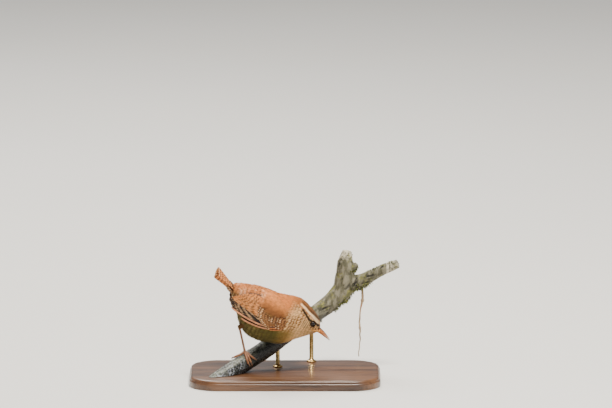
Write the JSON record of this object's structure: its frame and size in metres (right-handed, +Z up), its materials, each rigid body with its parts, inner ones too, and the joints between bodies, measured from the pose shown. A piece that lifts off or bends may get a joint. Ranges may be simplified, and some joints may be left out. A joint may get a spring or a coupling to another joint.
{
  "type": "perched wren model",
  "caption": "Small round bird with cocked tail and bent head, gripping a slanted length of branch held on a flat base by slim rods.",
  "frame": {"origin": "centre of the base's underside", "axes": "+X the way the bird faces, +Y towards its left side, +Z up"},
  "size_m": [0.1438, 0.0871, 0.0829],
  "materials": {
    "rufous_feathers": "matt, warm brown, soft barbed feathers",
    "buff_feathers": "matt, buff brown, faintly barred, fluffed feathers",
    "barred_feathers": "stiffer vanes with dark cross bars, slight sheen",
    "eye": "wet, glossy, very dark brown",
    "bill_horn": "smooth horn, satin",
    "bill_orange": "smooth horn, satin, orange at the base",
    "leg_skin": "scaled skin, reddish brown, satin",
    "bark": "rough bark, wet and dark below, mossy above",
    "stand_wood": "oiled dark wood, satin",
    "rod_brass": "brushed, satin"
  },
  "bodies": {
    "root": {"head": "rufous_feathers", "neck": "rufous_feathers", "torso": "buff_feathers", "thigh_left": "buff_feathers", "thigh_right": "buff_feathers", "tail": "barred_feathers", "wing_left": "barred_feathers", "wing_right": "barred_feathers", "eye_left": "eye", "eye_right": "eye", "bill_upper": "bill_horn", "bill_lower": "bill_orange", "shank_left": "leg_skin", "shank_right": "leg_skin", "foot_left": "leg_skin", "foot_right": "leg_skin", "perch": "bark", "stand_base": "stand_wood", "stand_rod_low": "rod_brass", "stand_rod_high": "rod_brass"}
  },
  "joints": []
}
